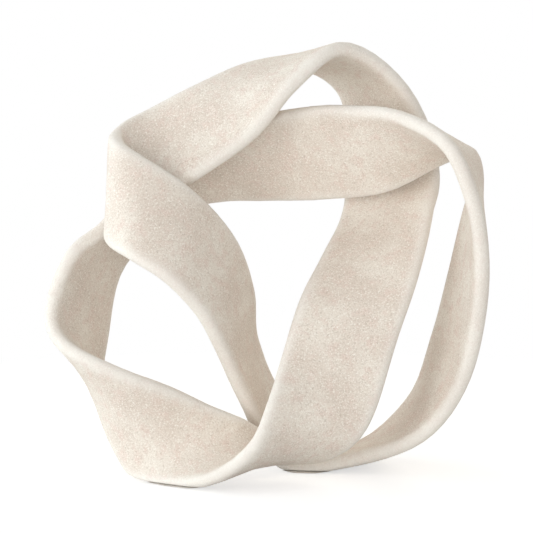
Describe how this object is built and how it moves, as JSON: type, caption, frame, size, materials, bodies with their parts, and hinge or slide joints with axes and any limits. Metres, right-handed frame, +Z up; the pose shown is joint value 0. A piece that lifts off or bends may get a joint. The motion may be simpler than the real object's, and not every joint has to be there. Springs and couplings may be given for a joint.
{
  "type": "abstract knot sculpture",
  "caption": "Free-standing sculpture for a shelf: one wide flat band with rounded rims, tied in a closed three-lobed over-and-under knot that stands on edge.",
  "frame": {"origin": "centre of the bounding box at the ground, under the felt pads", "axes": "+Z up; the open face of the knot looks towards -Y; +X to the right when seen from the front"},
  "size_m": [0.2181, 0.146, 0.2234],
  "materials": {
    "stone": "matt cast stone composite with a fine sandy speckle",
    "steel": "plain ground pin, hidden in the band",
    "felt": "thin natural felt"
  },
  "bodies": {
    "root": {"right_arc": "stone", "foot_arc": "stone", "top_arc": "stone", "right_pin_1": "steel", "right_pin_2": "steel", "foot_pin_1": "steel", "foot_pin_2": "steel", "top_pin_1": "steel", "top_pin_2": "steel", "front_pad": "felt", "middle_pad": "felt", "back_pad": "felt"}
  },
  "joints": []
}
